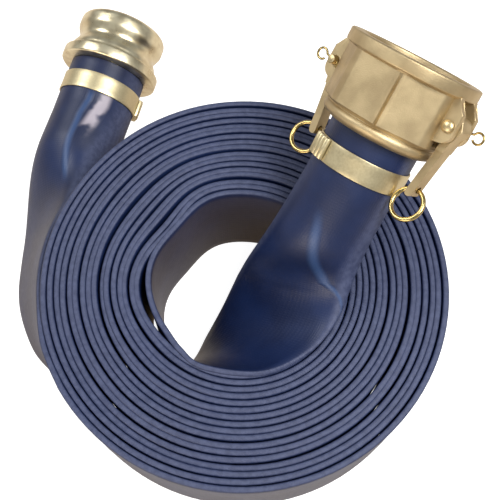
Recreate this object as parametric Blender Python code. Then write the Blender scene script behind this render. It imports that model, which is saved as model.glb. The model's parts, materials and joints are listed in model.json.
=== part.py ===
"""A 2-inch camlock coupling pair on a coiled lay-flat discharge hose.

The hose lies on its side in a flat coil, strip on edge.  Its inner end rises over the coil's rim to the
female coupler (socket, gasket, two cam arms on pivot pins, a pull ring on each arm).  Its outer end leaves
the coil and runs to the male adapter (nose with a cam groove).  Each fitting's shank is held in the hose by
a band clamp with a crimped buckle.

Frame: metres, +Z up, the coil's underside is z = 0 and the origin is the middle of the whole footprint.
Places are given about the coil's own axis, which the empty coil_centre carries.
Fitting frames: +Z out of the fitting's mouth or nose, +X towards the right-hand cam arm, -Y upwards.
"""

from math import atan2, cos, hypot, pi, radians, sin, sqrt

import bmesh
import bpy
from mathutils import Matrix, Vector

MM = 0.001
GAP = 0.3 * MM                      # kept between solids that touch on the real object

# Hose
HOSE_RADIUS = 27 * MM               # outside, where it is round
HOSE_WALL = 1.5 * MM
FLAT_WIDTH = 84 * MM                # across the strip when it lies flat
COIL_OUTER_RADIUS = 121 * MM
COIL_INNER_RADIUS = 57.8 * MM

# Coupler (female half)
MOUTH_PLACE = Vector((95.8 * MM, 96.8 * MM, 169.9 * MM))
MOUTH_HEADING = radians(33)         # from +Y towards +X
MOUTH_PITCH = radians(36.75)           # above the horizontal
ARM_ROLL = radians(20)              # lifts the right-hand arm
FLANGE_RADIUS = 40 * MM
FLANGE_THICKNESS = 7.5 * MM
BODY_APOTHEM = 35.8 * MM            # the body is an octagon with one flat under each arm
BODY_CORNER_RADIUS = 37.8 * MM
BODY_LENGTH = 47 * MM
COLLAR_TOP = -38.5 * MM             # where the octagon turns into the round lower collar
SOCKET_RADIUS = 32 * MM
SOCKET_DEPTH = 38 * MM
SHANK_RADIUS = 25.2 * MM
SHANK_LENGTH = 48 * MM
BORE_RADIUS = 22.5 * MM
SERRATIONS = 4                      # round each shank, under the hose
GASKET_OUTER_RADIUS = 33.3 * MM
GASKET_INNER_RADIUS = 25.4 * MM
GASKET_THICKNESS = 6.35 * MM

# Cam arms, pins and rings
PIVOT_RADIUS = 40.4 * MM            # pivot axis from the coupler's axis
PIVOT_DEPTH = 22 * MM               # pivot axis behind the mouth
PIN_RADIUS = 2.6 * MM
PIN_HOLE_RADIUS = 2.9 * MM
PIN_HEAD_RADIUS = 3.4 * MM
ARM_HALF_WIDTH = 5.9 * MM
HANDLE_HALF_WIDTH = 4.7 * MM        # below the cam
SLOT_HALF_WIDTH = 6.6 * MM
EAR_OUTER_FACE = 11 * MM
CAM_LOBE = 13.2 * MM                # reach of the lobe towards the axis, closed
CAM_HEEL = 6.7 * MM
HANDLE_LENGTH = 43.5 * MM
HANDLE_THICKNESS = 4.6 * MM
RING_LEAN = radians(12)             # the ring's plane leans out, clear of the hose
RING_HOLE_RADIUS = 2 * MM
RING_RADIUS = 9.2 * MM              # to the middle of the wire
RING_WIRE_RADIUS = 1.35 * MM
RING_DROOP = radians(20)
COTTER_PLANE = EAR_OUTER_FACE + 1.6 * MM
COTTER_LEG_RADIUS = 0.7 * MM
COTTER_EYE_RADIUS = 3.2 * MM
COTTER_WRAP = radians(305)          # how far the eye's wire goes round

# Adapter (male half)
ADAPTER_BAND_PLACE = Vector((-104.5 * MM, 157 * MM, 32.2 * MM))
ADAPTER_HEADING = radians(18)
ADAPTER_PITCH = radians(8)
NOSE_RADIUS = 31.4 * MM
NOSE_GROOVE_RADIUS = 28.4 * MM      # at the bottom of the cam groove
NOSE_GROOVE_DEPTH = 18 * MM         # groove's middle behind the tip
NOSE_GROOVE_HALF_LENGTH = 8.7 * MM
COLLAR_RADIUS = 35 * MM
COLLAR_START = 29 * MM
ADAPTER_LENGTH = 37 * MM            # tip to the face that the hose meets

# Band clamps
BAND_WIDTH = 13 * MM
BAND_THICKNESS = 0.8 * MM
BAND_OFFSET = 11 * MM               # bare hose between the fitting and its band

ROUND = 48                          # segments of a large round


# --- scene, materials and frames ---------------------------------------------------------------------


def clear_scene():
    for thing in list(bpy.data.objects):
        bpy.data.objects.remove(thing, do_unlink=True)


def stand_on_footprint(base):
    """Move the empty that carries everything, so the origin is the middle of the footprint."""
    bpy.context.view_layer.update()
    graph = bpy.context.evaluated_depsgraph_get()
    places = []
    for thing in bpy.data.objects:
        if thing.type == "MESH" and not thing.hide_render:
            solid = thing.evaluated_get(graph)
            places += [solid.matrix_world @ vert.co for vert in solid.data.vertices]
    for axis in (0, 1):
        values = [place[axis] for place in places]
        base.location[axis] = -(min(values) + max(values)) / 2


def material(name, colour, roughness, metallic):
    made = bpy.data.materials.new(name)
    made.use_nodes = True
    shader = made.node_tree.nodes["Principled BSDF"]
    shader.inputs["Base Color"].default_value = (*colour, 1)
    shader.inputs["Roughness"].default_value = roughness
    shader.inputs["Metallic"].default_value = metallic
    return made


def empty(name, matrix, parent=None):
    made = bpy.data.objects.new(name, None)
    made.empty_display_size = 10 * MM
    made.hide_render = True
    bpy.context.collection.objects.link(made)
    made.parent = parent
    made.matrix_local = matrix
    return made


def direction(heading, pitch):
    """The unit vector at a heading from +Y towards +X and a pitch above the horizontal."""
    return Vector((sin(heading) * cos(pitch), cos(heading) * cos(pitch), sin(pitch)))


def fitting_frame(name, base, place, heading, pitch, roll):
    """An empty at place whose +Z leaves the fitting and whose -Y is its upper side before the roll."""
    out = direction(heading, pitch)
    right = Vector((cos(heading), -sin(heading), 0))
    under = out.cross(right)
    turn = Matrix((right, under, out)).transposed().to_4x4()
    return empty(name, Matrix.Translation(place) @ turn @ Matrix.Rotation(-roll, 4, "Z"), base)


def place_mesh(name, bm, finish, parent=None, matrix=None, smooth_angle=radians(35)):
    """Turn a bmesh into a named object with outward faces, shaded smooth below smooth_angle."""
    bmesh.ops.recalc_face_normals(bm, faces=bm.faces)
    mesh = bpy.data.meshes.new(name)
    bm.to_mesh(mesh)
    bm.free()
    mesh.shade_smooth()
    mesh.set_sharp_from_angle(angle=smooth_angle)
    mesh.materials.append(finish)
    made = bpy.data.objects.new(name, mesh)
    bpy.context.collection.objects.link(made)
    made.parent = parent
    made.matrix_local = matrix or Matrix.Identity(4)
    return made


def use_as_tool(tool):
    tool.hide_render = True
    tool.display_type = "WIRE"


def combine(target, tool, operation):
    use_as_tool(tool)
    step = target.modifiers.new(tool.name, "BOOLEAN")
    step.operation = operation
    step.solver = "EXACT"
    step.object = tool


# --- shapes ------------------------------------------------------------------------------------------


def turned(profile, segments=ROUND):
    """Turn a closed loop of (radius, height) points about Z."""
    bm = bmesh.new()
    verts = [bm.verts.new((radius, 0, height)) for radius, height in profile]
    edges = [bm.edges.new((verts[i - 1], verts[i])) for i in range(len(verts))]
    bmesh.ops.spin(bm, geom=verts + edges, cent=(0, 0, 0), axis=(0, 0, 1), angle=2 * pi, steps=segments,
                   use_merge=True)
    bmesh.ops.remove_doubles(bm, verts=bm.verts, dist=0.001 * MM)
    return bm


def lofted(rings, ends="caps"):
    """Join rings of equal point counts; ends are capped, or joined to each other with "loop"."""
    bm = bmesh.new()
    rows = [[bm.verts.new(point) for point in ring] for ring in rings]
    count = len(rows[0])
    pairs = zip(rows, rows[1:] + rows[:1]) if ends == "loop" else zip(rows, rows[1:])
    for first, second in pairs:
        for i in range(count):
            bm.faces.new((first[i - 1], first[i], second[i], second[i - 1]))
    if ends == "caps":
        bm.faces.new(rows[0])
        bm.faces.new(rows[-1])
    return bm


def plate(outline, low, high):
    """Extrude a closed outline of (x, z) points along Y from low to high."""
    return lofted([[Vector((x, y, z)) for x, z in outline] for y in (low, high)])


def rod(start, end, radius, segments=16):
    """A cylinder between two points."""
    axis = end - start
    bm = bmesh.new()
    bmesh.ops.create_cone(bm, cap_ends=True, segments=segments, radius1=radius, radius2=radius,
                          depth=axis.length)
    turn = axis.to_track_quat("Z", "Y").to_matrix().to_4x4()
    bmesh.ops.transform(bm, matrix=Matrix.Translation((start + end) / 2) @ turn, verts=bm.verts)
    return bm


def wire_ring(radius, wire_radius, along, across, centre, segments=28, sides=8):
    """A round wire ring in the plane of along and across."""
    rings = []
    for i in range(segments):
        angle = 2 * pi * i / segments
        outward = along * cos(angle) + across * sin(angle)
        normal = along.cross(across)
        middle = centre + outward * radius
        rings.append([middle + (outward * cos(t) + normal * sin(t)) * wire_radius
                      for t in (2 * pi * k / sides for k in range(sides))])
    return lofted(rings, ends="loop")


def arc(centre_x, centre_z, radius, start, end, steps):
    """Points of an arc in the XZ plane, angles in degrees."""
    angles = [radians(start + (end - start) * i / steps) for i in range(steps + 1)]
    return [(centre_x + radius * cos(a), centre_z + radius * sin(a)) for a in angles]


def shank_outline(start, end):
    """Outer line of a serrated shank from start to end, with heights going down."""
    plain = 5 * MM
    lead_in = 3 * MM
    depth = 0.9 * MM
    pitch = (start - end - plain - lead_in) / SERRATIONS
    points = []
    for i in range(SERRATIONS):
        top = start - plain - i * pitch
        points += [(SHANK_RADIUS, top), (SHANK_RADIUS - depth, top - 0.5 * MM)]
    return points + [(SHANK_RADIUS, end + lead_in), (SHANK_RADIUS - 1.2 * MM, end)]


# --- coupler -----------------------------------------------------------------------------------------


def octagon_limit(angle):
    """Radius of the cast octagon at an angle about its axis, with flats centred every 45 degrees."""
    off_flat = (angle + pi / 8) % (pi / 4) - pi / 8
    return min(BODY_CORNER_RADIUS, BODY_APOTHEM / cos(off_flat))


def coupler_body(frame, finish):
    seat = -SOCKET_DEPTH
    pocket = GASKET_OUTER_RADIUS + GAP
    pocket_floor = seat - GASKET_THICKNESS - 2 * GAP
    edge = 0.8 * MM
    collar_radius = 33 * MM
    collar_middle = 4 * MM - BODY_LENGTH
    profile = [(FLANGE_RADIUS - edge, 0), (FLANGE_RADIUS, -edge), (FLANGE_RADIUS, edge - FLANGE_THICKNESS),
               (FLANGE_RADIUS - edge, -FLANGE_THICKNESS), (BODY_CORNER_RADIUS, -FLANGE_THICKNESS - 1 * MM),
               (BODY_CORNER_RADIUS, COLLAR_TOP)]
    profile += [(collar_radius + 2 * MM * cos(radians(a)), collar_middle + 4 * MM * sin(radians(a)))
                for a in (40, 0, -40)]
    profile += [(collar_radius - 2.5 * MM, -BODY_LENGTH), (SHANK_RADIUS, -BODY_LENGTH)]
    profile += shank_outline(-BODY_LENGTH, -BODY_LENGTH - SHANK_LENGTH)
    profile += [(BORE_RADIUS, -BODY_LENGTH - SHANK_LENGTH), (BORE_RADIUS, pocket_floor),
                (pocket, pocket_floor), (pocket, seat), (SOCKET_RADIUS, seat),
                (SOCKET_RADIUS, -1.5 * MM), (SOCKET_RADIUS + 1.5 * MM, 0)]
    bm = turned(profile, 64)
    for vert in bm.verts:
        radius = hypot(vert.co.x, vert.co.y)
        on_octagon = -FLANGE_THICKNESS - 0.5 * MM > vert.co.z > COLLAR_TOP - 0.1 * MM
        if on_octagon and radius > BODY_CORNER_RADIUS - 0.1 * MM:
            scale = octagon_limit(atan2(vert.co.y, vert.co.x)) / radius
            vert.co.x *= scale
            vert.co.y *= scale
    bmesh.ops.triangulate(bm, faces=bm.faces)
    body = place_mesh("coupler_body", bm, finish, frame)

    ear = [(33.5 * MM, -6 * MM), (39.4 * MM, -6 * MM), (40 * MM, -9 * MM), (44.8 * MM, -14 * MM)]
    ear += arc(PIVOT_RADIUS - 2.4 * MM, -25 * MM, 7 * MM, 0, -70, 5)
    ear += [(33.5 * MM, -33.5 * MM)]
    for side, name in ((1, "right"), (-1, "left")):
        turn = Matrix.Rotation(0 if side > 0 else pi, 4, "Z")
        for near, word in ((-1, "upper"), (1, "lower")):
            faces = sorted((near * (SLOT_HALF_WIDTH - 0.1 * MM), near * EAR_OUTER_FACE))
            lug = place_mesh(f"tool_ear_{name}_{word}", plate(ear, *faces), finish, frame, turn)
            combine(body, lug, "UNION")
        slot = [(25 * MM, -10.5 * MM), (50 * MM, -10.5 * MM), (50 * MM, -36 * MM), (25 * MM, -36 * MM)]
        slab = plate(slot, -SLOT_HALF_WIDTH, SLOT_HALF_WIDTH)
        combine(body, place_mesh(f"tool_slot_{name}", slab, finish, frame, turn), "DIFFERENCE")
        pivot = Vector((PIVOT_RADIUS, 0, -PIVOT_DEPTH))
        reach = Vector((0, EAR_OUTER_FACE + 1 * MM, 0))
        drill = place_mesh(f"tool_pin_hole_{name}", rod(pivot - reach, pivot + reach, PIN_HOLE_RADIUS, 20),
                           finish, frame, turn)
        combine(body, drill, "DIFFERENCE")
    return body


def coupler_gasket(frame, finish):
    top = -SOCKET_DEPTH - GAP
    foot = top - GASKET_THICKNESS
    edge = 0.8 * MM
    profile = [(GASKET_OUTER_RADIUS - edge, top), (GASKET_OUTER_RADIUS, top - edge),
               (GASKET_OUTER_RADIUS, foot + edge), (GASKET_OUTER_RADIUS - edge, foot),
               (GASKET_INNER_RADIUS + edge, foot), (GASKET_INNER_RADIUS, foot + edge),
               (GASKET_INNER_RADIUS, top - edge), (GASKET_INNER_RADIUS + edge, top)]
    return place_mesh("coupler_gasket", turned(profile), finish, frame)


def cam_radius(angle):
    """Reach of the cam from its pivot at an angle from the coupler's axis, positive towards the mouth."""
    rise = min(max((angle + radians(62)) / radians(40), 0), 1)
    fall = min(max((angle - radians(12)) / radians(58), 0), 1)
    lobe = rise * rise * (3 - 2 * rise) * (1 - fall * fall * (3 - 2 * fall))
    return CAM_HEEL + (CAM_LOBE - CAM_HEEL) * lobe


def handle_middle(run):
    """Offset of the handle's middle line from the pivot, outwards, at a run towards the hose."""
    share = run / HANDLE_LENGTH
    return 2.5 * MM - 6.5 * MM * share * (1.25 - 0.25 * share)


def arm_outline():
    """Side view of a closed arm about its pivot: the cam, then the handle's outside and inside."""
    outline = []
    for degrees in range(-55, 131, 9):
        angle = radians(degrees)
        reach = cam_radius(angle)
        outline.append((-reach * cos(angle), reach * sin(angle)))
    outline.append((CAM_HEEL, 0))
    runs = [HANDLE_LENGTH * k / 10 for k in range(1, 10)]
    half = HANDLE_THICKNESS / 2
    outline += [(handle_middle(run) + half, -run) for run in runs]
    tip = handle_middle(HANDLE_LENGTH)
    outline += [(tip + half * 0.7, 0.6 * MM - HANDLE_LENGTH), (tip, -HANDLE_LENGTH),
                (tip - half * 0.7, 0.6 * MM - HANDLE_LENGTH)]
    outline += [(handle_middle(run) - half, -run) for run in reversed(runs[1:])]
    return outline


def ring_hole():
    """Middle of the ring's hole about the arm's pivot."""
    run = HANDLE_LENGTH - 4.5 * MM
    return Vector((handle_middle(run), 0, -run))


def cam_arm(side, pivot, finish):
    arm = place_mesh(f"cam_arm_{side}", plate(arm_outline(), -ARM_HALF_WIDTH, ARM_HALF_WIDTH), finish, pivot)
    reach = Vector((0, 10 * MM, 0))
    drill = place_mesh(f"tool_arm_pin_{side}", rod(-reach, reach, PIN_HOLE_RADIUS, 20), finish, pivot)
    combine(arm, drill, "DIFFERENCE")
    hole = ring_hole()
    through = Vector((cos(RING_LEAN), 0, sin(RING_LEAN))) * 8 * MM
    drill = place_mesh(f"tool_arm_ring_{side}", rod(hole - through, hole + through, RING_HOLE_RADIUS, 16),
                       finish, pivot)
    combine(arm, drill, "DIFFERENCE")
    waist = [(-12 * MM, -14 * MM), (12 * MM, -14 * MM), (12 * MM, -70 * MM), (-12 * MM, -70 * MM)]
    for near, word in ((-1, "upper"), (1, "lower")):
        faces = sorted((near * HANDLE_HALF_WIDTH, near * (ARM_HALF_WIDTH + 5 * MM)))
        relief = place_mesh(f"tool_arm_relief_{side}_{word}", plate(waist, *faces), finish, pivot)
        combine(arm, relief, "DIFFERENCE")
    return arm


def pull_ring(side, hinge, finish):
    """The ring's wire passes through the origin along X and its middle lies towards -Z."""
    centre = Vector((0, 0, -RING_RADIUS))
    bm = wire_ring(RING_RADIUS, RING_WIRE_RADIUS, Vector((1, 0, 0)), Vector((0, 0, 1)), centre)
    return place_mesh(f"pull_ring_{side}", bm, finish, hinge)


def pivot_pin(side, frame, turn, finish):
    """A headed pin across one arm's slot; the left one goes in from below, so its far end faces up."""
    place = Vector((PIVOT_RADIUS, 0, -PIVOT_DEPTH))
    face = EAR_OUTER_FACE + GAP
    sides = 20
    along = [(PIN_HEAD_RADIUS - 0.5 * MM, -face - 2.2 * MM), (PIN_HEAD_RADIUS, -face - 1.4 * MM),
             (PIN_HEAD_RADIUS, -face), (PIN_RADIUS, -face), (PIN_RADIUS, face + 3.4 * MM),
             (PIN_RADIUS - 0.8 * MM, face + 4.2 * MM)]
    rings = [[place + Vector((radius * cos(a), y, radius * sin(a)))
              for a in (2 * pi * k / sides for k in range(sides))] for radius, y in along]
    pin = place_mesh(f"pivot_pin_{side}", lofted(rings), finish, frame, turn)
    cross = place + Vector((0, COTTER_PLANE, 0))
    reach = Vector((8 * MM, 0, 0))
    hole = rod(cross - reach, cross + reach, COTTER_LEG_RADIUS + GAP, 10)
    combine(pin, place_mesh(f"tool_cotter_hole_{side}", hole, finish, frame, turn), "DIFFERENCE")
    return pin


def pin_cotter(side, frame, turn, finish):
    """A split pin through the pivot pin's far end: a wire eye outside and one leg bent over inside."""
    place = Vector((PIVOT_RADIUS, COTTER_PLANE, -PIVOT_DEPTH))
    out = Vector((1, 0, 0))
    down = Vector((0, 0, -1))
    eye = place + out * 8.4 * MM
    leg_end = place - out * 3.6 * MM
    steps = 20
    path = [leg_end + down * 3.4 * MM, leg_end + down * 1.2 * MM, leg_end + out * 0.6 * MM,
            place + out * 1 * MM]
    for k in range(steps + 1):
        angle = pi + radians(18) + COTTER_WRAP * k / steps
        path.append(eye + (out * cos(angle) + down * sin(angle)) * COTTER_EYE_RADIUS)
    wire = tube_along(path, COTTER_LEG_RADIUS, 6)
    return place_mesh(f"pin_cotter_{side}", wire, finish, frame, turn)


def tube_along(path, radius, sides):
    """A capped round wire along points that lie in a plane of constant Y."""
    rings = []
    across = Vector((0, 1, 0))
    for i, point in enumerate(path):
        tangent = (path[min(i + 1, len(path) - 1)] - path[max(i - 1, 0)]).normalized()
        normal = across.cross(tangent).normalized()
        rings.append([point + (normal * cos(t) + across * sin(t)) * radius
                      for t in (2 * pi * k / sides for k in range(sides))])
    return lofted(rings)


# --- adapter -----------------------------------------------------------------------------------------


def adapter_body(frame, finish):
    groove = []
    steps = 8
    for i in range(steps + 1):
        run = -1 + 2 * i / steps
        depth = (NOSE_RADIUS - NOSE_GROOVE_RADIUS) * sqrt(max(0, 1 - run * run))
        groove.append((NOSE_RADIUS - depth, -NOSE_GROOVE_DEPTH - run * NOSE_GROOVE_HALF_LENGTH))
    edge = 1.4 * MM
    profile = [(NOSE_RADIUS - 4.4 * MM, 0), (NOSE_RADIUS - 2 * MM, -1.2 * MM),
               (NOSE_RADIUS - 0.5 * MM, -3.6 * MM), (NOSE_RADIUS, -6 * MM)]
    profile += groove
    profile += [(NOSE_RADIUS, 0.6 * MM - COLLAR_START), (COLLAR_RADIUS - edge, -COLLAR_START),
                (COLLAR_RADIUS, -COLLAR_START - edge), (COLLAR_RADIUS, edge - ADAPTER_LENGTH),
                (COLLAR_RADIUS - edge, -ADAPTER_LENGTH), (SHANK_RADIUS, -ADAPTER_LENGTH)]
    profile += shank_outline(-ADAPTER_LENGTH, -ADAPTER_LENGTH - SHANK_LENGTH)
    profile += [(BORE_RADIUS, -ADAPTER_LENGTH - SHANK_LENGTH), (BORE_RADIUS, -12 * MM),
                (BORE_RADIUS + 1.5 * MM, 0)]
    return place_mesh("adapter_body", turned(profile), finish, frame)


# --- band clamps -------------------------------------------------------------------------------------


def band(name, frame, near_face, finish):
    inner = HOSE_RADIUS + GAP
    outer = inner + BAND_THICKNESS
    profile = [(outer, near_face), (outer, near_face - BAND_WIDTH), (inner, near_face - BAND_WIDTH),
               (inner, near_face)]
    return place_mesh(name, turned(profile), finish, frame)


def band_buckle(name, frame, near_face, middle_angle, finish):
    """The crimped lock on a band: a low block bent to the band, with ridges across it."""
    inner = HOSE_RADIUS + BAND_THICKNESS + 2 * GAP
    half_span = radians(15)
    ridges = 4
    steps = 24
    rings = []
    for i in range(steps + 1):
        share = i / steps
        angle = middle_angle + (2 * share - 1) * half_span
        lift = 1.1 * MM + 1.3 * MM * sin(pi * ridges * share) ** 2
        low, high = near_face - BAND_WIDTH + 0.4 * MM, near_face - 0.4 * MM
        corners = ((inner, low), (inner + lift, low), (inner + lift, high), (inner, high))
        rings.append([Vector((radius * cos(angle), radius * sin(angle), z)) for radius, z in corners])
    return place_mesh(name, lofted(rings), finish, frame)


# --- hose --------------------------------------------------------------------------------------------


def smooth_through(points, per_span):
    """Points on a Catmull-Rom curve through the given ones."""
    ends = [points[0] * 2 - points[1]] + points + [points[-1] * 2 - points[-2]]
    made = []
    for i in range(1, len(ends) - 2):
        before, start, end, after = ends[i - 1:i + 3]
        for k in range(per_span):
            t = k / per_span
            made.append(0.5 * (2 * start + (end - before) * t
                               + (2 * before - 5 * start + 4 * end - after) * t * t
                               + (3 * start - before - 3 * end + after) * t ** 3))
    return made + [points[-1]]


def half_thickness(half_width):
    """Half the hose's thickness where it is half_width wide, from round to flat."""
    flat = HOSE_WALL
    share = (half_width - HOSE_RADIUS) / (FLAT_WIDTH / 2 - HOSE_RADIUS)
    share = min(max(share, 0), 1)
    return flat + (HOSE_RADIUS - flat) * (1 - share) ** 1.6


def hose_rings(edges_a, edges_b, sides, per_span):
    """Cross-sections of the hose between two edge lines, each an oval from flat to round."""
    line_a = smooth_through(edges_a, per_span)
    line_b = smooth_through(edges_b, per_span)
    middles = [(a + b) / 2 for a, b in zip(line_a, line_b)]
    rings = []
    for i, (a, b) in enumerate(zip(line_a, line_b)):
        across = (b - a).normalized()
        along = (middles[min(i + 1, len(middles) - 1)] - middles[max(i - 1, 0)]).normalized()
        up = across.cross(along).normalized()
        half_width = (b - a).length / 2
        half_height = half_thickness(half_width)
        rings.append([middles[i] + across * half_width * cos(t) + up * half_height * sin(t)
                      for t in (2 * pi * k / sides for k in range(sides))])
    return rings


def hose_tail(name, edges_a, edges_b, frame, shank_start, finish):
    """A tail from the coil to a fitting: lofted from the strip to a round that is hollow over the shank."""
    sides = 24
    rings = hose_rings(edges_a, edges_b, sides, 3)
    turn = frame.matrix_local
    blind_end = shank_start - SHANK_LENGTH - 1 * MM
    first = rings[-1]
    inverse = turn.inverted()
    angles = [atan2(*(inverse @ point).yx) for point in first]
    inside = SHANK_RADIUS + GAP

    def circle(radius, height):
        return [turn @ Vector((radius * cos(a), radius * sin(a), height)) for a in angles]

    face = shank_start - GAP
    rings += [circle(HOSE_RADIUS, blind_end + 6 * MM), circle(HOSE_RADIUS, face), circle(inside, face),
              circle(inside, blind_end)]
    return place_mesh(name, lofted(rings), finish, frame.parent)


def vectors(rows):
    return [Vector(row) * MM for row in rows]


def round_edges(frame, height, across):
    """The two edge points of the round hose at a height in a fitting's frame, nearest a direction."""
    turn = frame.matrix_local
    axis = (turn.to_3x3() @ Vector((0, 0, 1))).normalized()
    flat = (across - axis * across.dot(axis)).normalized()
    middle = turn @ Vector((0, 0, height))
    return middle - flat * HOSE_RADIUS, middle + flat * HOSE_RADIUS


def coupler_tail(frame, finish):
    """The lower edge leaves the inner turn and climbs across the hole; the upper one follows the turn up."""
    lower = vectors([(-48.5, -27.6, 0.6), (-39, -36.5, 0.6), (-32.5, -30.5, 2.5), (-25.5, -20, 11),
                     (-17, -7, 24), (-7, 8, 42), (3, 21, 62), (14, 28.5, 84)])
    upper = vectors([(-48.5, -27.6, 83.4), (-35.5, -42.7, 83.4), (-20.5, -51, 84), (11.5, -53, 84.6),
                     (37, -39.5, 86), (54, -22, 90), (64, -3, 97), (70, 6.5, 104)])
    start, end = round_edges(frame, -BODY_LENGTH - SHANK_LENGTH - 7 * MM, Vector((1, -0.45, 0.05)))
    return hose_tail("hose_coupler_tail", lower + [start], upper + [end], frame, -BODY_LENGTH, finish)


def adapter_tail(frame, finish):
    """From the outer turn the lower edge swings out over the floor while the upper edge leans on the coil."""
    lower = vectors([(-104.5, -65.5, 0.6), (-112.8, -50.3, 0.6), (-119.5, -34, 0.6), (-132, -2, 0.6),
                     (-142, 30, 2), (-146, 60, 7), (-143, 88, 15)])
    upper = vectors([(-104.5, -65.5, 83.4), (-112.8, -50.3, 83.3), (-119.5, -33, 83), (-125, 2, 79),
                     (-121, 37, 70), (-109, 66, 59), (-95, 88, 49)])
    start, end = round_edges(frame, -ADAPTER_LENGTH - SHANK_LENGTH - 7 * MM, Vector((1, 0, 0.15)))
    return hose_tail("hose_adapter_tail", lower + [start], upper + [end], frame, -ADAPTER_LENGTH, finish)


def hose_coil(base, finish):
    edge = 1.2 * MM
    profile = [(COIL_OUTER_RADIUS - edge, FLAT_WIDTH), (COIL_OUTER_RADIUS, FLAT_WIDTH - edge),
               (COIL_OUTER_RADIUS, edge), (COIL_OUTER_RADIUS - edge, 0), (COIL_INNER_RADIUS + edge, 0),
               (COIL_INNER_RADIUS, edge), (COIL_INNER_RADIUS, FLAT_WIDTH - edge),
               (COIL_INNER_RADIUS + edge, FLAT_WIDTH)]
    return place_mesh("hose_coil", turned(profile, 72), finish, base)


# --- assembly ----------------------------------------------------------------------------------------


def build():
    clear_scene()
    cast_brass = material("cast_brass", (0.61, 0.46, 0.24), 0.5, 1.0)
    polished_brass = material("polished_brass", (0.78, 0.60, 0.28), 0.2, 1.0)
    band_steel = material("band_steel", (0.80, 0.70, 0.42), 0.35, 1.0)
    steel_wire = material("steel_wire", (0.62, 0.55, 0.42), 0.3, 1.0)
    blue_pvc = material("blue_pvc", (0.03, 0.05, 0.30), 0.35, 0.0)
    black_rubber = material("black_rubber", (0.03, 0.03, 0.03), 0.8, 0.0)

    base = empty("coil_centre", Matrix.Identity(4))
    coupler = fitting_frame("coupler_frame", base, MOUTH_PLACE, MOUTH_HEADING, MOUTH_PITCH, ARM_ROLL)
    band_to_tip = ADAPTER_LENGTH + BAND_OFFSET + BAND_WIDTH / 2
    tip = ADAPTER_BAND_PLACE + direction(ADAPTER_HEADING, ADAPTER_PITCH) * band_to_tip
    adapter = fitting_frame("adapter_frame", base, tip, ADAPTER_HEADING, ADAPTER_PITCH, 0)
    bpy.context.view_layer.update()

    coupler_body(coupler, cast_brass)
    coupler_gasket(coupler, black_rubber)
    for side, sign in (("right", 1), ("left", -1)):
        turn = Matrix.Rotation(0 if sign > 0 else pi, 4, "Z")
        pivot_place = Matrix.Translation((PIVOT_RADIUS, 0, -PIVOT_DEPTH))
        pivot = empty(f"arm_pivot_{side}", turn @ pivot_place, coupler)
        cam_arm(side, pivot, cast_brass)
        tilt = Matrix.Rotation(-RING_LEAN, 4, "Y")
        droop = Matrix.Rotation(-sign * RING_DROOP, 4, "X")
        hinge = empty(f"ring_hinge_{side}", Matrix.Translation(ring_hole()) @ tilt @ droop, pivot)
        pull_ring(side, hinge, steel_wire)
        pivot_pin(side, coupler, turn, steel_wire)
        pin_cotter(side, coupler, turn, steel_wire)

    coupler_band_face = -BODY_LENGTH - BAND_OFFSET
    band("coupler_band", coupler, coupler_band_face, band_steel)
    band_buckle("coupler_band_buckle", coupler, coupler_band_face, radians(-90 - 32), band_steel)
    adapter_body(adapter, polished_brass)
    adapter_band_face = -ADAPTER_LENGTH - BAND_OFFSET
    band("adapter_band", adapter, adapter_band_face, band_steel)
    band_buckle("adapter_band_buckle", adapter, adapter_band_face, radians(20), band_steel)
    hose_coil(base, blue_pvc)
    coupler_tail(coupler, blue_pvc)
    adapter_tail(adapter, blue_pvc)
    stand_on_footprint(base)


build()
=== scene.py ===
# %% [markdown]
# # A camlock pair on its coiled discharge hose
#
# The object is a flat-lying blue hose, wound on edge into a coil.  Its inner end climbs out of the
# coil to a cast brass coupler with two cam arms, and its outer end lies beside the coil with a
# polished brass adapter.  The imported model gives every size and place; this script only builds
# the surfaces that are seen, and lets each one ride on the body that carries it.

# %% Load the fixed frame
import json
from math import atan2, cos, degrees, exp, hypot, pi, radians, sin

import bmesh
import bpy
from mathutils import Matrix, Vector


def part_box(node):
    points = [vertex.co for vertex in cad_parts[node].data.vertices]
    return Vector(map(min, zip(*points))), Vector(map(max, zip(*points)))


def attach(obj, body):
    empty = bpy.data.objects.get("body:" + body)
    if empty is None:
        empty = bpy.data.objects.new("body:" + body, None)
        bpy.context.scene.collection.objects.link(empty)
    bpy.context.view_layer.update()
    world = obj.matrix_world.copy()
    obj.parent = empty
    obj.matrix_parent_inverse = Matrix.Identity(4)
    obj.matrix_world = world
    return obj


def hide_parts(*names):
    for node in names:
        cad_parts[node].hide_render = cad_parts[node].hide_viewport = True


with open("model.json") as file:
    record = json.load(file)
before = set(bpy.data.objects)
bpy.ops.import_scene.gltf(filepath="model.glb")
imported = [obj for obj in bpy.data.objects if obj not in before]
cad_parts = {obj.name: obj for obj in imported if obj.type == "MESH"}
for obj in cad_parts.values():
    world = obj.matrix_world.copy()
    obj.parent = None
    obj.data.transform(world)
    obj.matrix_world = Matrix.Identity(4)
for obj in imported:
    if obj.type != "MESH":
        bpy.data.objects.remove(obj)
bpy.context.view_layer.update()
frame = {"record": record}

MM = 0.001
ROOT = "hose_and_fittings"

# %% [markdown]
# ## Where things are
#
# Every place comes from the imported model.  The coil's box gives its axis and height, the two face
# mounts give the fittings' axes, and the arms' hinges lie across the coupler, so together they give
# a frame for each fitting: +Z out of its mouth, -Y on its upper side.

# %% Coil and fitting frames
coil_low, coil_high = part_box("hose_coil")
coil_middle = (coil_low + coil_high) / 2
coil_middle.z = 0
COIL_HEIGHT = coil_high.z
OUTER_RADIUS = (coil_high.x - coil_low.x) / 2
mounts = {mount["name"]: mount for mount in frame["record"]["mounts"]}
joints = {joint["name"]: joint for joint in frame["record"]["behaviour"]["joints"]}


def frame_of(origin, across, under, out):
    return Matrix.Translation(origin) @ Matrix((across, under, out)).transposed().to_4x4()


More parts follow.
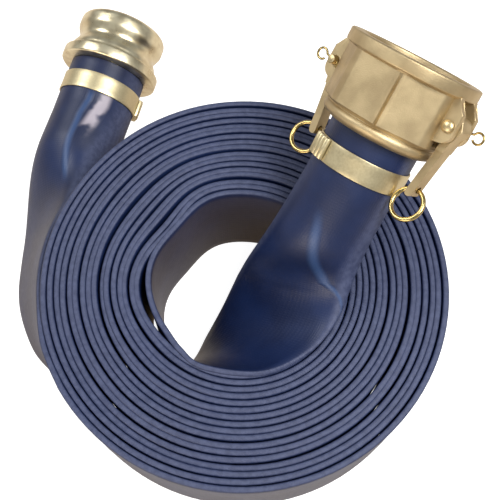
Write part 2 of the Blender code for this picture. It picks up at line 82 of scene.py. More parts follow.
pivots = [Vector(joints[f"cam_arm_{side}_swing"]["pos_m"]) for side in ("right", "left")]
PIVOT_DEPTH = 22 * MM
coupler_out = Vector(mounts["coupler_mouth"]["axis"]).normalized()
coupler_across = (pivots[0] - pivots[1]).normalized()
coupler_origin = (pivots[0] + pivots[1]) / 2 + coupler_out * PIVOT_DEPTH
coupler = frame_of(coupler_origin, coupler_across, coupler_out.cross(coupler_across), coupler_out)

NOSE_FACE_RADIUS = 25.4 * MM
adapter_out = Vector(mounts["adapter_nose"]["axis"]).normalized()
adapter_across = adapter_out.cross(Vector((0, 0, 1))).normalized()
adapter_under = adapter_out.cross(adapter_across)
adapter_origin = Vector(mounts["adapter_nose"]["pos_m"]) + adapter_under * NOSE_FACE_RADIUS
adapter = frame_of(adapter_origin, adapter_across, adapter_under, adapter_out)
print("coil radius", round(OUTER_RADIUS / MM, 1), "mm, height", round(COIL_HEIGHT / MM, 1), "mm")

# %% [markdown]
# ## The camera
#
# A camera high over the near side looks down at the coil.  It could be placed by typing its six
# numbers; here it is an aim point near the coil's own middle, a height angle and a distance, so it
# follows the model if that moves, and each number can be read by itself.

# %% Camera
ELEVATION = radians(69.07)
DISTANCE = 0.5541
AIM = Vector((4.2, 33.1, 44)) * MM
SENSOR_MM = 36
LENS_MM = 60.64
camera = bpy.data.objects.new("camera", bpy.data.cameras.new("camera"))
camera.data.sensor_width = SENSOR_MM
camera.data.lens = LENS_MM
camera.data.clip_start = 0.01
target = coil_middle + AIM
forward = Vector((0, cos(ELEVATION), -sin(ELEVATION)))
camera.location = target - forward * DISTANCE
camera.rotation_euler = (pi / 2 - ELEVATION, 0, 0)
bpy.context.scene.collection.objects.link(camera)
bpy.context.scene.camera = camera
print("camera at", [round(value, 3) for value in camera.location])

# %% [markdown]
# ## The hose's route
#
# A lay-flat hose is a woven tube that folds to a flat strip when it is empty.  It is described by
# its two folded edges: one list of points for the lower edge and one for the upper edge.  From the
# coupler the strip comes down over the rim, turns seventeen times outwards, standing on edge, and
# runs out to the adapter.  The spiral's step is a little wider than the strip is thick, and it
# drifts, because hand winding leaves some turns tight and some loose.  A spiral modifier would make
# even turns; two lists of edge points let each fold be steered, which is how a strip lies.

# %% Route values
HOSE_RADIUS = 27 * MM
HOSE_WALL = 1.85 * MM
STRIP_WIDTH = 84 * MM
TURNS = 17
TURN_STEPS = 110
START_ANGLE = radians(-150.4)
START_RADIUS = 55.8 * MM
END_RADIUS = 123.3 * MM
END_ANGLE = radians(212.1)
FLOOR_GAP = 0.6 * MM


def points_mm(rows):
    return [coil_middle + Vector(row) * MM for row in rows]


INNER_LOWER = points_mm([(-48.5, -27.6, 0.6), (-39, -36.5, 0.6), (-32.5, -30.5, 2.5), (-25.5, -20, 11),
                         (-17, -7, 24), (-7, 8, 42), (3, 21, 62), (14, 28.5, 84)])
INNER_UPPER = points_mm([(-48.5, -27.6, 83.4), (-36.4, -44.2, 83.4), (-21.8, -54.6, 83.4), (12.4, -58, 83.6),
                         (40.6, -44.4, 84.6), (57, -24, 89), (64.5, -3, 97), (70, 6.5, 104)])
OUTER_LOWER = points_mm([(-104.5, -65.5, 0.6), (-115, -51, 0.6), (-128, -38, 0.6), (-141, -24, 0.6),
                         (-151, -3, 0.6), (-155.5, 16, 0.6), (-156, 38, 0.6), (-154, 60, 2), (-150, 84, 8)])
OUTER_UPPER = points_mm([(-104.5, -65.5, 83.4), (-112, -51.5, 83), (-117.5, -38, 82), (-120.5, -23, 80.5),
                         (-123, -2, 78), (-123, 17, 75), (-120, 38, 70), (-112, 62, 61), (-100, 86, 52)])


def smooth_through(points, per_span):
    """Points on a Catmull-Rom curve through the given ones."""
    ends = [points[0] * 2 - points[1]] + points + [points[-1] * 2 - points[-2]]
    made = []
    for i in range(1, len(ends) - 2):
        before, start, end, after = ends[i - 1:i + 3]
        for k in range(per_span):
            t = k / per_span
            made.append(0.5 * (2 * start + (end - before) * t
                               + (2 * before - 5 * start + 4 * end - after) * t * t
                               + (3 * start - before - 3 * end + after) * t ** 3))
    return made + [points[-1]]


def round_edges(fitting, height, across):
    """The two edge points of the round hose at a height in a fitting's frame, nearest a direction."""
    axis = fitting.to_3x3() @ Vector((0, 0, 1))
    flat = (across - axis * across.dot(axis)).normalized()
    middle = fitting @ Vector((0, 0, height))
    return middle - flat * HOSE_RADIUS, middle + flat * HOSE_RADIUS


# %% The spiral's two edges
def drift(turn):
    """How far the winding strays from an even spiral, in metres; it is nothing at both ends."""
    strays = ((0.55, 0.37, 0.4), (0.42, 0.61, 2.1), (0.26, 1.43, 4.0), (0.18, 2.32, 1.2))
    total = sum(size * sin(2 * pi * rate * turn + start) for size, rate, start in strays)
    fade = min(turn / 1.2, (TURNS - turn) / 1.2, 1)
    return total * fade * 0.7 * MM


def rim_drop(turn):
    """How far a turn's upper edge sits below the tallest one."""
    wave = sin(2 * pi * 0.43 * turn + 0.9) * 0.5 + sin(2 * pi * 1.31 * turn) * 0.3 + sin(2 * pi * 0.17 * turn)
    fade = min(turn / 0.5, (TURNS - turn) / 0.5, 1)
    return (0.9 + 0.5 * wave) * fade * MM


def hand_wave(angle, turn):
    """The inner turns are not round: they bulge to the left and lie flatter at the far left."""
    def bump(middle, width):
        off = (degrees(angle) - middle + 180) % 360 - 180
        return exp(-(off / width) ** 2)
    wave = 5.0 * bump(186, 24) - 6.5 * bump(143, 20) + 2.0 * bump(112, 18)
    return wave * exp(-turn / 6) * min(turn / 0.4, 1) * MM


spiral_lower = []
spiral_upper = []
SWEEP = 2 * pi * TURNS - (END_ANGLE - (START_ANGLE + 2 * pi))
for i in range(TURNS * TURN_STEPS + 1):
    share = i / (TURNS * TURN_STEPS)
    angle = START_ANGLE - SWEEP * share
    radius = START_RADIUS + (END_RADIUS - START_RADIUS) * share + drift(share * TURNS)
    radius += hand_wave(angle, share * TURNS)
    foot = coil_middle + Vector((radius * cos(angle), radius * sin(angle), FLOOR_GAP))
    spiral_lower.append(foot)
    spiral_upper.append(foot + Vector((0, 0, STRIP_WIDTH - 2 * FLOOR_GAP - rim_drop(share * TURNS))))
print("turns", TURNS, "step", round((END_RADIUS - START_RADIUS) / TURNS / MM, 2), "mm")

# %% One list of stations from coupler to adapter
COUPLER_FACE = -47.3 * MM
ADAPTER_FACE = -37.3 * MM
SHANK = 48 * MM
LEAD = 7 * MM
SPAN_STEPS = 10
STRAIGHT_STEPS = 12


def tail_edges(edges, fitting, face, across, side):
    """Smooth points along one edge from the coil to the fitting, then straight along its shank."""
    blend = face - SHANK - LEAD
    points = edges + [round_edges(fitting, blend, across)[side]]
    line = smooth_through(points, SPAN_STEPS)
    heights = [blend + (face - blend) * k / STRAIGHT_STEPS for k in range(1, STRAIGHT_STEPS + 1)]
    return line + [round_edges(fitting, height, across)[side] for height in heights]


coupler_flat = Vector((1, -0.45, 0.05))
adapter_flat = Vector((1, 0, 0.15))
lower = tail_edges(INNER_LOWER, coupler, COUPLER_FACE, coupler_flat, 0)[:0:-1]
upper = tail_edges(INNER_UPPER, coupler, COUPLER_FACE, coupler_flat, 1)[:0:-1]
lower += spiral_lower
upper += spiral_upper
lower += tail_edges(OUTER_LOWER, adapter, ADAPTER_FACE, adapter_flat, 0)[1:]
upper += tail_edges(OUTER_UPPER, adapter, ADAPTER_FACE, adapter_flat, 1)[1:]


def ease(first, last, passes):
    """Take kinks out of both edges between two stations."""
    for line in (lower, upper):
        for _ in range(passes):
            line[first:last] = [(line[i - 1] + line[i] * 2 + line[i + 1]) / 4 for i in range(first, last)]


SHANK_STEPS = 8
NECK_STEPS = 38
PASSES = 70
ease(SHANK_STEPS, NECK_STEPS, PASSES)
ease(len(lower) - NECK_STEPS, len(lower) - SHANK_STEPS, PASSES)
middles = [(a + b) / 2 for a, b in zip(lower, upper)]
runs = [0.0]
for a, b in zip(middles, middles[1:]):
    runs.append(runs[-1] + (b - a).length)
print("stations", len(middles), "hose length", round(runs[-1], 2), "m")

# %% [markdown]
# ## The hose's skin
#
# The tube's section changes from a flat strip with two round folds to a full circle on the shank.
# Each station gets a ring of points that is a mix of both shapes, and the rings are joined like a
# sleeve.  A loft was chosen over a curve with a bevel because a bevel can't change its section.
# Each face corner also carries its place along and around the cloth, in metres, so that the weave
# follows the hose.

# %% Section of the hose
SIDES = 28
FOLD_START = cos(pi / 4)          # from here to its tip the section turns round a fold
FOOT_SPREAD = 1.16                # the lower fold is squashed a little by the hose's own weight


def half_thickness(i):
    """Half the hose's thickness at a station, and how flat it is: 0 on a shank, 1 along the strip."""
    ends = ((0, 60 * MM, 165 * MM), (runs[-1], 60 * MM, 170 * MM))
    flatness = 1.0
    for end, near, far in ends:
        share = min(max((abs(runs[i] - end) - near) / (far - near), 0), 1)
        flatness = min(flatness, share * share * (3 - 2 * share))
    return HOSE_WALL + (HOSE_RADIUS - HOSE_WALL) * (1 - flatness) ** 1.3, flatness


def section_point(k, half_width, half_height, flatness):
    """Point k of a ring: round at flatness 0, a strip with squarish folds at flatness 1."""
    angle = 2 * pi * k / SIDES
    lean = abs(cos(angle))
    x_round = half_width * cos(angle)
    y_round = half_height * sin(angle)
    fold = HOSE_WALL * (1.0 if cos(angle) >= 0 else FOOT_SPREAD)
    straight = half_width - fold
    near_fold = max(0, (lean - FOLD_START) / (1 - FOLD_START))
    swing = pi / 2 * (1 - near_fold)
    x_flat = straight * min(lean / FOLD_START, 1)
    y_flat = fold
    if near_fold > 0:
        x_flat += fold * cos(swing) ** 0.6
        y_flat = fold * sin(swing) ** 0.6
    x_flat *= 1 if cos(angle) >= 0 else -1
    y_flat *= 0 if abs(sin(angle)) < 1e-6 else (1 if sin(angle) > 0 else -1)
    return (x_round + (x_flat - x_round) * flatness, y_round + (y_flat - y_round) * flatness)


def station_axes(i):
    """Unit vectors across the strip and out of its flat side."""
    across = (upper[i] - lower[i]).normalized()
    along = (middles[min(i + 1, len(middles) - 1)] - middles[max(i - 1, 0)]).normalized()
    return across, across.cross(along).normalized()


print("half thickness along the strip", round(half_thickness(len(runs) // 2)[0] / MM, 2), "mm")


# %% Make one length of hose
def hose_length(name, first, last):
    """A closed sleeve over stations first to last."""
    bm = bmesh.new()
    rows = []
    for i in range(first, last + 1):
        across, out = station_axes(i)
        half_width = (upper[i] - lower[i]).length / 2
        half_height, flatness = half_thickness(i)
        ring = []
        for k in range(SIDES):
            x, y = section_point(k, half_width, half_height, flatness)
            ring.append(bm.verts.new(middles[i] + across * x + out * y))
        rows.append(ring)
    cloth = bm.loops.layers.float_vector.new("cloth")
    for j, (near, far) in enumerate(zip(rows, rows[1:])):
        for k in range(SIDES):
            after = (k + 1) % SIDES
            face = bm.faces.new((near[k], near[after], far[after], far[k]))
            face.smooth = True
            places = ((j, k), (j, k + 1), (j + 1, k + 1), (j + 1, k))
            for loop, (row, column) in zip(face.loops, places):
                loop[cloth] = (runs[first + row], column / SIDES * 2 * pi * HOSE_RADIUS, column / SIDES)
    for ring in (rows[0], rows[-1]):
        cap = bm.faces.new(ring)
        for edge in cap.edges:
            edge.smooth = False
    bmesh.ops.recalc_face_normals(bm, faces=bm.faces)
    mesh = bpy.data.meshes.new(name)
    bm.to_mesh(mesh)
    bm.free()
    piece = bpy.data.objects.new(name, mesh)
    bpy.context.scene.collection.objects.link(piece)
    return piece


def station_at(run):
    """The first station that lies at least this far along the hose."""
    return next(i for i, value in enumerate(runs) if value >= run)


END_LENGTH = 0.52                 # metres of hose from each fitting to the winding
inner_cut = station_at(END_LENGTH)
outer_cut = station_at(runs[-1] - END_LENGTH)
inner_end = hose_length("hose_inner_end", 0, inner_cut)
winding = hose_length("hose_winding", inner_cut, outer_cut)
outer_end = hose_length("hose_outer_end", outer_cut, len(middles) - 1)
for piece, node in ((inner_end, "hose_coupler_tail"), (winding, "hose_coil"),
                    (outer_end, "hose_adapter_tail")):
    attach(piece, ROOT)
    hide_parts(node)
    print(piece.name, len(piece.data.polygons), "faces")

# %% [markdown]
# ## What kind of thing each length is
#
# The two free ends behave as thick cords that go into something at both ends.  The wound middle is
# a woven tube folded flat and stood on edge.  Here only the wound length is printed.

# %% The wound length
middles[:inner_cut + 1]
print("wound length", round(runs[outer_cut] - runs[inner_cut], 2), "m")

# %% [markdown]
# ## A small language for shaders
#
# Materials are sums of patterns.  `Value` wraps one output of a node and adds a Math node for every
# operator that is used on it, so a pattern can be written as arithmetic.  `Finish` starts a
# material, and its `node` method adds any other node from its type, settings and inputs.  The
# same trees could be wired one link at a time, but a line of arithmetic shows what a pattern does.

# %% Value and Finish
class Value:
    def __init__(self, finish, output):
        self.finish = finish
        self.output = output

    def math(self, operation, *others):
        return self.finish.node("ShaderNodeMath", {"operation": operation}, dict(enumerate((self, *others))))

    def __add__(self, other):
        return self.math("ADD", other)

    __radd__ = __add__

    def __mul__(self, other):
        return self.math("MULTIPLY", other)

    __rmul__ = __mul__

    def __sub__(self, other):
        return self.math("SUBTRACT", other)

    def __rsub__(self, other):
        return (self * -1) + other

    def sine(self):
        return self.math("SINE")

    def cosine(self):
        return self.math("COSINE")

    def magnitude(self):
        return self.math("ABSOLUTE")

    def at_least(self, other):
        return self.math("MAXIMUM", other)

    def between(self, low, high):
        """0 below low, 1 above high and smooth between them."""
        return self.finish.node("ShaderNodeMapRange", {"interpolation_type": "SMOOTHSTEP", "clamp": True},
                                {"Value": self, "From Min": low, "From Max": high})


class Finish:
    def __init__(self, name, colour, roughness, metallic=0.0, **constants):
        self.material = bpy.data.materials.new(name)
        self.material.use_nodes = True
        self.tree = self.material.node_tree
        self.shader = self.tree.nodes["Principled BSDF"]
        self.shader.inputs["Base Color"].default_value = (*colour, 1)
        self.shader.inputs["Roughness"].default_value = roughness
        self.shader.inputs["Metallic"].default_value = metallic
        for socket, value in constants.items():
            self.shader.inputs[socket.replace("_", " ")].default_value = value

    def node(self, kind, settings=None, inputs=None, output=0):
        """Add a node, set its settings, then its inputs, and give back one output as a Value."""
        made = self.tree.nodes.new(kind)
        for key, value in (settings or {}).items():
            setattr(made, key, value)
        for key, value in (inputs or {}).items():
            self.feed(made.inputs[key], value)
        return Value(self, made.outputs[output])

    def feed(self, socket, value):
        if isinstance(value, Value):
            self.tree.links.new(value.output, socket)
        else:
            socket.default_value = value

    def drive(self, **inputs):
        """Link patterns to the shader's own sockets, with spaces written as underscores."""
        for name, value in inputs.items():
            self.feed(self.shader.inputs[name.replace("_", " ")], value)

    def place(self):
        return self.node("ShaderNodeTexCoord", output="Object")

    def along(self, axis, origin):
        """Distance in metres along an axis from an origin, in the part's own frame."""
        moved = self.node("ShaderNodeVectorMath", {"operation": "SUBTRACT"}, {0: self.place(), 1: origin})
        return self.node("ShaderNodeVectorMath", {"operation": "DOT_PRODUCT"}, {0: moved, 1: axis},
                         output="Value")

    def noise(self, scale, detail=2.0, roughness=0.5, where=None):
        inputs = {"Vector": where or self.place(), "Scale": scale, "Detail": detail, "Roughness": roughness}
        return self.node("ShaderNodeTexNoise", {}, inputs)

    def mix(self, share, first, second):
        """A colour that goes from first to second as share goes from 0 to 1."""
        def full(colour):
            return colour if isinstance(colour, Value) else (*colour, 1)
        return self.node("ShaderNodeMix", {"data_type": "RGBA"},
                         {0: share, 6: full(first), 7: full(second)}, output=2)

    def bump(self, height, distance, strength=1.0, normal=None):
        inputs = {"Strength": strength, "Distance": distance, "Height": height}
        if normal:
            inputs["Normal"] = normal
        return self.node("ShaderNodeBump", {}, inputs)


print("shader helpers ready")

# %% [markdown]
# ## Blue hose
#
# The skin is PVC over a woven jacket: a deep blue with a soft gloss, where the yarns just show
# through as fine ribs along and across.  The two folds are coloured a grey violet that is partly
# scuffing from handling and partly a painted sheen, the lamp's reflection on their rounded tops,
# and the colour drifts along the length.  A pattern in the object's own space would slide through
# the turns of the coil, so the weave reads the cloth places that the mesh carries instead.

# %% Hose weave and colours
hose = Finish("hose_skin", (0.02, 0.04, 0.2), 0.4, Coat_Weight=0.0)
cloth = hose.node("ShaderNodeAttribute", {"attribute_type": "GEOMETRY", "attribute_name": "cloth"},
                  output="Vector")
split = hose.node("ShaderNodeSeparateXYZ", {}, {0: cloth}).output.node
run, around, turn_share = (Value(hose, split.outputs[k]) for k in range(3))
YARN_PITCH = 1.6 * MM
yarn = 2 * pi / YARN_PITCH
warp = (around * yarn).sine() * 0.5 + 0.5
weft = (run * yarn).sine() * 0.5 + 0.5
weave = warp * weft
fold = (turn_share * (2 * pi)).cosine().magnitude().between(0.72, 0.95)
stain = hose.noise(26.0, 3.0, 0.55)
scuff = hose.noise(300.0, 3.0, 0.6)
DEEP_BLUE, WORN_BLUE = (0.0022, 0.0085, 0.042), (0.006, 0.0165, 0.068)
# The fold colours are partly scuffing and partly a painted sheen of the lamp on the folds' tops.
FOLD_WORN_SHEEN_GREY, FOLD_WORN_SHEEN_PALE = (0.034, 0.044, 0.098), (0.062, 0.076, 0.148)
# The crease line's colour: a painted highlight along its ridge.
CREASE_HIGHLIGHT_BLUE = (0.026, 0.062, 0.165)
# A painted highlight: the pale pink of a glossy reflection.
PAINTED_HIGHLIGHT_PINK = (0.46, 0.41, 0.46)
deep = hose.mix(stain.between(0.35, 0.7), DEEP_BLUE, WORN_BLUE)
# The folds' colour: scuffing plus a painted sheen.
edge = hose.mix(scuff.between(0.3, 0.7), FOLD_WORN_SHEEN_GREY, FOLD_WORN_SHEEN_PALE)
print("weave pitch", round(YARN_PITCH / MM, 1), "mm")

# %% [markdown]
# ## Creases and the rubbed patch
# A lay-flat hose that is forced round over a shank keeps one sharp crease beside it.  A crease could
# be a dent in the mesh; as a thin line in colour and bump it keeps its place when the strip's route
# is changed.  The line's lighter blue is a painted highlight, the light caught along the crease's
# ridge.  Each way below says where round the tube the line lies, as a share of one turn, for
# each distance from the fitting.

# %% Creases and the painted highlights
inner_way = 0.75 + (run - 0.055) * 2.5 + (run - 0.0985).at_least(0) * 5
inner_crease = 1 - (turn_share - inner_way).magnitude().between(0.002, 0.026)
inner_crease = inner_crease * run.between(0.042, 0.06) * (1 - run.between(0.106, 0.122))
left = runs[-1] - run
outer_way = 0.214 - (left - 0.045).at_least(0) * 1.2
outer_crease = 1 - (turn_share - outer_way).magnitude().between(0.002, 0.020)
outer_crease = outer_crease * left.between(0.020, 0.03) * (1 - left.between(0.09, 0.105))
# This mask places the crease's bump and its painted highlight colour.
crease_and_highlight = inner_crease.at_least(outer_crease)
# A pale pink patch beside the crease near the adapter end is a painted highlight, a glossy reflection on the
# hose.
painted_highlight_patch = 1 - (turn_share - 0.155).magnitude().between(0.012, 0.04)
painted_highlight_patch = painted_highlight_patch * left.between(0.016, 0.026) * (1 - left.between(0.046, 0.066))
painted_highlight_patch = painted_highlight_patch * hose.noise(70.0).between(0.40, 0.56)
# The folds get wear plus a painted sheen, and the crease line gets a painted highlight.
skin = hose.mix(crease_and_highlight * 0.8, hose.mix(fold * 0.85, deep, edge), CREASE_HIGHLIGHT_BLUE)
hose.drive(Base_Color=hose.mix(painted_highlight_patch * 0.8, skin, PAINTED_HIGHLIGHT_PINK),
           Roughness=0.38 + scuff * 0.12 + fold * 0.15,
           Normal=hose.bump(weave + scuff * 0.6 + crease_and_highlight * 8, 0.12 * MM, 0.35))
for piece in (inner_end, winding, outer_end):
    piece.data.materials.append(hose.material)
print("hose skin has", len(hose.tree.nodes), "nodes")

# %% [markdown]
# ## Brass and steel
#
# The coupler is sand cast and left dull, the adapter is turned and polished.  Both are metals, so
# their colour is the colour of what they reflect.  Casting grain could be sculpted, but it is finer
# than any mesh here, so it is fine noise in the bump; a slower noise gives the handled patches.

# %% Cast brass
cast = Finish("cast_brass", (0.62, 0.47, 0.26), 0.5, 1.0)
grain = cast.noise(1500.0, 3.0, 0.6)
patch = cast.noise(60.0, 3.0, 0.5)
cast.drive(Base_Color=cast.mix(patch.between(0.3, 0.7), (0.44, 0.34, 0.195), (0.59, 0.47, 0.275)),
           Roughness=0.42 + grain * 0.18,
           Normal=cast.bump(grain, 0.25 * MM, 0.4))
print("cast brass has", len(cast.tree.nodes), "nodes")

# %% [markdown]
# ## Polished brass
#
# A lathe leaves rings round the fitting.  A sine of the distance along the fitting's axis makes them
# at their true pitch, which a stretched noise could not hold.

# %% Polished brass
TOOL_PITCH = 0.45 * MM
polished = Finish("polished_brass", (0.76, 0.66, 0.43), 0.26, 1.0)
height = polished.along(adapter_out, adapter_origin)
marks = (height * (2 * pi / TOOL_PITCH)).sine()
smudge = polished.noise(120.0, 3.0, 0.5)
polished.drive(Base_Color=polished.mix(smudge.between(0.35, 0.65), (0.66, 0.56, 0.36), (0.84, 0.75, 0.52)),
               Roughness=0.22 + smudge * 0.16,
               Normal=polished.bump(marks * 0.2 + smudge, 0.06 * MM, 0.3))
print("tool marks every", round(TOOL_PITCH / MM, 2), "mm")

# %% [markdown]
# ## Band, wire, rubber and pins
#
# The bands and wires are plated steel with a yellow passivation, brighter than the castings.  Each
# finish is one fine noise that shifts colour, gloss and bump together, because on thin metal they
# come from the same scratches.  The rubber is dark, dull and a little dusty.

# %% Band steel, wire and rubber
band_finish = Finish("band_steel", (0.80, 0.70, 0.42), 0.3, 1.0)
brushed = band_finish.noise(900.0, 2.0, 0.5)
band_finish.drive(Base_Color=band_finish.mix(brushed, (0.58, 0.49, 0.29), (0.76, 0.66, 0.42)),
                  Roughness=0.34 + brushed * 0.16,
                  Normal=band_finish.bump(brushed, 0.05 * MM, 0.3))
wire_finish = Finish("ring_wire", (0.72, 0.60, 0.34), 0.22, 1.0)
drawn = wire_finish.noise(1100.0, 2.0, 0.5)
wire_finish.drive(Base_Color=wire_finish.mix(drawn, (0.34, 0.25, 0.09), (0.60, 0.46, 0.20)),
                  Roughness=0.16 + drawn * 0.16,
                  Normal=wire_finish.bump(drawn, 0.04 * MM, 0.3))
rubber = Finish("black_rubber", (0.02, 0.02, 0.02), 0.6)
dust = rubber.noise(700.0, 3.0, 0.6)
rubber.drive(Base_Color=rubber.mix(dust.between(0.4, 0.8), (0.015, 0.015, 0.016), (0.05, 0.048, 0.045)),
             Roughness=0.5 + dust * 0.2,
             Normal=rubber.bump(dust, 0.05 * MM, 0.3))
print("finishes so far:", [material.name for material in bpy.data.materials])

# %% Pin steel
pin_finish = Finish("pin_steel", (0.66, 0.53, 0.30), 0.35, 1.0)
pin_grain = pin_finish.noise(1300.0, 3.0, 0.6)
PIN_DULL, PIN_BRIGHT = (0.56, 0.43, 0.23), (0.76, 0.62, 0.36)
pin_finish.drive(Base_Color=pin_finish.mix(pin_grain.between(0.3, 0.7), PIN_DULL, PIN_BRIGHT),
                 Roughness=0.3 + pin_grain * 0.2,
                 Normal=pin_finish.bump(pin_grain, 0.06 * MM, 0.3))
print("pin steel has", len(pin_finish.tree.nodes), "nodes")

# %% [markdown]
# ## Turned and cast pieces
#
# Round parts are turned: a profile of radius and height is swept about the fitting's axis, as on a
# lathe.  Flat parts such as the arms are plates with a small bevel, because a real casting has no
# sharp edge and the bevel is what catches the light.  Holes and slots are cut by Booleans, and the
# result is kept as a plain mesh.

# %% Shapes
ROUND = 128


def finished(name, bm, matrix, finish, body=ROOT, node=None, sharp=35):
    """Turn a bmesh into a piece that rides on a body and stands for a node."""
    bmesh.ops.recalc_face_normals(bm, faces=bm.faces)
    mesh = bpy.data.meshes.new(name)
    bm.to_mesh(mesh)
    bm.free()
    mesh.transform(matrix)
    mesh.shade_smooth()
    mesh.set_sharp_from_angle(angle=radians(sharp))
    piece = bpy.data.objects.new(name, mesh)
    bpy.context.scene.collection.objects.link(piece)
    if finish:
        mesh.materials.append(finish.material)
        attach(piece, body)
    if node:
        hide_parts(node)
    return piece


def turned(profile, segments=ROUND):
    """Turn a closed loop of (radius, height) points about Z."""
    bm = bmesh.new()
    verts = [bm.verts.new((radius, 0, height)) for radius, height in profile]
    edges = [bm.edges.new((verts[i - 1], verts[i])) for i in range(len(verts))]
    bmesh.ops.spin(bm, geom=verts + edges, cent=(0, 0, 0), axis=(0, 0, 1), angle=2 * pi, steps=segments,
                   use_merge=True)
    bmesh.ops.remove_doubles(bm, verts=bm.verts, dist=0.001 * MM)
    return bm


def lofted(rings, closed=False):
    """Join rings of equal point counts; the ends are capped unless they meet."""
    bm = bmesh.new()
    rows = [[bm.verts.new(point) for point in ring] for ring in rings]
    for first, second in zip(rows, rows[1:] + (rows[:1] if closed else [])):
        for i in range(len(first)):
            bm.faces.new((first[i - 1], first[i], second[i], second[i - 1]))
    if not closed:
        bm.faces.new(rows[0])
        bm.faces.new(rows[-1])
    return bm


def plate(outline, low, high, edge=0):
    """A flat piece from an outline of (x, z) points, between two values of y."""
    bm = lofted([[Vector((x, y, z)) for x, z in outline] for y in (low, high)])
    if edge:
        rim = [e for e in bm.edges if abs(e.verts[0].co.y - e.verts[1].co.y) < 1e-7]
        bmesh.ops.bevel(bm, geom=rim, offset=edge, segments=3, profile=0.5, affect="EDGES")
    return bm


def rod(start, end, radius, segments=32):
    """A round bar between two points."""
    axis = end - start
    bm = bmesh.new()
    bmesh.ops.create_cone(bm, cap_ends=True, segments=segments, radius1=radius, radius2=radius,
                          depth=axis.length)
    turn = axis.to_track_quat("Z", "Y").to_matrix().to_4x4()
    bmesh.ops.transform(bm, matrix=Matrix.Translation((start + end) / 2) @ turn, verts=bm.verts)
    return bm


def carve(piece, steps, sharp=35):
    """Apply Booleans in order: steps holds (operation, tool mesh, matrix)."""
    tools = []
    for operation, bm, matrix in steps:
        tool = finished("cutter", bm, matrix, None)
        cut = piece.modifiers.new("cut", "BOOLEAN")
        cut.operation = operation
        cut.solver = "EXACT"
        cut.object = tool
        tools.append(tool)
    bpy.context.view_layer.update()
    solid = piece.evaluated_get(bpy.context.evaluated_depsgraph_get())
    mesh = bpy.data.meshes.new_from_object(solid)
    piece.modifiers.clear()
    piece.data = mesh
    mesh.shade_smooth()
    mesh.set_sharp_from_angle(angle=radians(sharp))
    for tool in tools:
        bpy.data.objects.remove(tool, do_unlink=True)


def corner(radius, height, size, start, end, steps=5):
    """Points of a small rounded corner about a centre, angles in degrees from +radius towards +height."""
    angles = [radians(start + (end - start) * k / steps) for k in range(steps + 1)]
    return [(radius + size * cos(a), height + size * sin(a)) for a in angles]


print("shape helpers ready")

# %% [markdown]
# ## The coupler's body
#
# A female cam coupler is a brass casting: a flange round the mouth, an eight-sided waist with one
# flat under each cam arm, a round collar, and a serrated shank inside the hose.  Two pairs of ears
# stand up beside a slot, where each cam arm reaches through to grip the other half.
#
# It could be built from many primitives, but the casting is one skin.  So one profile is turned,
# the waist's points are pulled in to eight flats, and only the ears, slots and holes are Booleans.

# %% Coupler sizes
FLANGE_RADIUS = 40 * MM
FLANGE_THICKNESS = 7.5 * MM
WAIST_CORNER = 37.8 * MM
WAIST_FLAT = 35.8 * MM
BODY_LENGTH = 47 * MM
COLLAR_TOP = -38.5 * MM
COLLAR_RADIUS = 33 * MM
SOCKET_RADIUS = 32 * MM
SOCKET_DEPTH = 38 * MM
POCKET_RADIUS = 33.6 * MM
POCKET_FOOT = -44.9 * MM
SHANK_RADIUS = 25.2 * MM
BORE_RADIUS = 22.5 * MM
SLOT_HALF_WIDTH = 6.6 * MM
EAR_FACE = 11 * MM
PIN_HOLE_RADIUS = 2.9 * MM
PIVOT_RADIUS = (pivots[0] - pivots[1]).length / 2
FILLET = 1.2 * MM
print("pivots are", round(2 * PIVOT_RADIUS / MM, 1), "mm apart")


# %% Serrated shank
def shank_profile(start, end):
    """Outer line of a serrated shank, with heights going down."""
    teeth = 4
    plain = 5 * MM
    lead_in = 3 * MM
    pitch = (start - end - plain - lead_in) / teeth
    points = []
    for i in range(teeth):
        top = start - plain - i * pitch
        points += [(SHANK_RADIUS, top), (SHANK_RADIUS - 0.9 * MM, top - 0.5 * MM)]
    return points + [(SHANK_RADIUS, end + lead_in), (SHANK_RADIUS - 1.2 * MM, end)]


print("shank", round(SHANK / MM, 1), "mm long")

# %% Turn the coupler
profile = corner(FLANGE_RADIUS - FILLET, -FILLET, FILLET, 90, 0)
profile += corner(FLANGE_RADIUS - FILLET, FILLET - FLANGE_THICKNESS, FILLET, 0, -90)
profile += [(WAIST_CORNER + 0.6 * MM, -FLANGE_THICKNESS), (WAIST_CORNER, -FLANGE_THICKNESS - 0.9 * MM)]
profile += [(WAIST_CORNER, -FLANGE_THICKNESS - 5 * MM * k) for k in range(1, 6)]
profile += [(WAIST_CORNER, COLLAR_TOP + 0.8 * MM), (WAIST_CORNER - 0.9 * MM, COLLAR_TOP)]
profile += corner(COLLAR_RADIUS - 1.4 * MM, 4.2 * MM - BODY_LENGTH, 3.4 * MM, 60, -75, 8)
profile += [(COLLAR_RADIUS - 2.5 * MM, -BODY_LENGTH), (SHANK_RADIUS, -BODY_LENGTH)]
profile += shank_profile(-BODY_LENGTH, -BODY_LENGTH - SHANK)
profile += [(BORE_RADIUS, -BODY_LENGTH - SHANK), (BORE_RADIUS, POCKET_FOOT), (POCKET_RADIUS, POCKET_FOOT),
            (POCKET_RADIUS, -SOCKET_DEPTH), (SOCKET_RADIUS, -SOCKET_DEPTH)]
profile += corner(SOCKET_RADIUS + FILLET, -FILLET, FILLET, 180, 90)
bm = turned(profile, 256)
print("profile points", len(profile))

